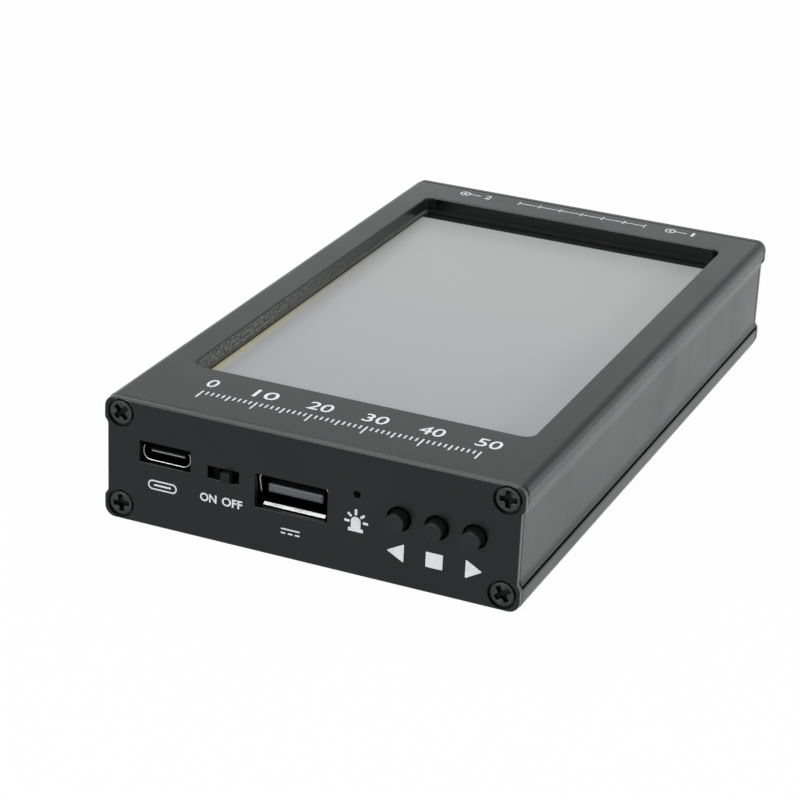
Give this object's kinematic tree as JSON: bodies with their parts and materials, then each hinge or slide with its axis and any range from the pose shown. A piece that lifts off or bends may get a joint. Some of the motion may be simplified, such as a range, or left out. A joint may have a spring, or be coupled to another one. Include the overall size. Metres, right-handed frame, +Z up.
{
  "type": "handheld vector network analyzer",
  "caption": "Flat black aluminium-cased handheld network analyzer with a windowed touch display, a slide switch, push buttons and sockets on the front panel and coaxial jacks at the rear.",
  "frame": {"origin": "middle of the underside that the instrument rests on", "axes": "+X to the operator's right facing the panel with the buttons, +Y from that panel towards the coaxial jacks, +Z up out of the display"},
  "size_m": [0.075, 0.1416, 0.022],
  "materials": {
    "anodised_aluminium": "black anodised, fine bead-blasted grain",
    "blackened_steel": "black zinc, satin",
    "nickel_plate": "bright nickel plate",
    "gold_plate": "thin gold plate, satin",
    "plain_brass": "turned, unplated",
    "tinned_steel": "tin plate, satin",
    "black_plastic": "moulded, matt",
    "grey_plastic": "moulded, satin",
    "white_plastic": "moulded, matt",
    "fluoropolymer": "waxy white",
    "foam": "closed-cell foam, matt",
    "touch_film": "semi-gloss film over an unlit display",
    "display_glass": "polished, dark behind",
    "circuit_board": "green solder mask over glass fibre laminate",
    "flex_circuit": "amber polyimide film",
    "chip_resin": "moulding resin",
    "cell_wrap": "foil laminate pouch",
    "clear_resin": "milky lens",
    "red_lead": "soft insulation",
    "black_lead": "soft insulation"
  },
  "bodies": {
    "housing": {"top_shell": "anodised_aluminium", "bottom_shell": "anodised_aluminium", "front_panel": "anodised_aluminium", "rear_panel": "anodised_aluminium", "front_screw_lower_left": "blackened_steel", "front_screw_lower_right": "blackened_steel", "front_screw_upper_left": "blackened_steel", "front_screw_upper_right": "blackened_steel", "rear_screw_lower_left": "blackened_steel", "rear_screw_lower_right": "blackened_steel", "rear_screw_upper_left": "blackened_steel", "rear_screw_upper_right": "blackened_steel", "window_gasket": "foam", "touch_panel": "touch_film", "display_glass": "display_glass", "display_backlight": "tinned_steel", "display_flex": "flex_circuit", "display_socket": "black_plastic", "main_board": "circuit_board", "receiver_shield_left": "tinned_steel", "receiver_shield_right": "tinned_steel", "synthesizer_shield": "tinned_steel", "display_foam": "foam", "processor": "chip_resin", "battery": "cell_wrap", "battery_tape": "white_plastic", "battery_socket": "white_plastic", "battery_lead_negative": "black_lead", "battery_lead_positive": "red_lead", "port_board": "circuit_board", "port_board_standoff_left": "plain_brass", "port_board_standoff_right": "plain_brass", "port_board_screw_left": "tinned_steel", "port_board_screw_right": "tinned_steel", "port_board_flex": "flex_circuit", "port_board_socket": "black_plastic", "charge_socket_shell": "nickel_plate", "charge_socket_tongue": "black_plastic", "host_socket_shell": "nickel_plate", "host_socket_tongue": "grey_plastic", "power_switch_body": "black_plastic", "button_switch_left": "chip_resin", "button_switch_middle": "chip_resin", "button_switch_right": "chip_resin", "status_light": "clear_resin", "jack_body_left": "gold_plate", "jack_insulator_left": "fluoropolymer", "jack_contact_left": "gold_plate", "jack_washer_left": "gold_plate", "jack_nut_left": "gold_plate", "jack_body_right": "gold_plate", "jack_insulator_right": "fluoropolymer", "jack_contact_right": "gold_plate", "jack_washer_right": "gold_plate", "jack_nut_right": "gold_plate"},
    "power_switch": {"power_switch_knob": "black_plastic"},
    "left_button": {"button_left": "black_plastic"},
    "middle_button": {"button_middle": "black_plastic"},
    "right_button": {"button_right": "black_plastic"}
  },
  "joints": [
    {"name": "power_switch_slide", "type": "slide", "parent": "housing", "child": "power_switch", "axis": [-1, 0, 0], "range_m": [0, 0.0015]},
    {"name": "left_button_press", "type": "slide", "parent": "housing", "child": "left_button", "axis": [0, 1, 0], "range_m": [0, 0.0004], "stiffness_N_per_m": 4000, "springref_m": -0.0001},
    {"name": "middle_button_press", "type": "slide", "parent": "housing", "child": "middle_button", "axis": [0, 1, 0], "range_m": [0, 0.0004], "stiffness_N_per_m": 4000, "springref_m": -0.0001},
    {"name": "right_button_press", "type": "slide", "parent": "housing", "child": "right_button", "axis": [0, 1, 0], "range_m": [0, 0.0004], "stiffness_N_per_m": 4000, "springref_m": -0.0001}
  ]
}
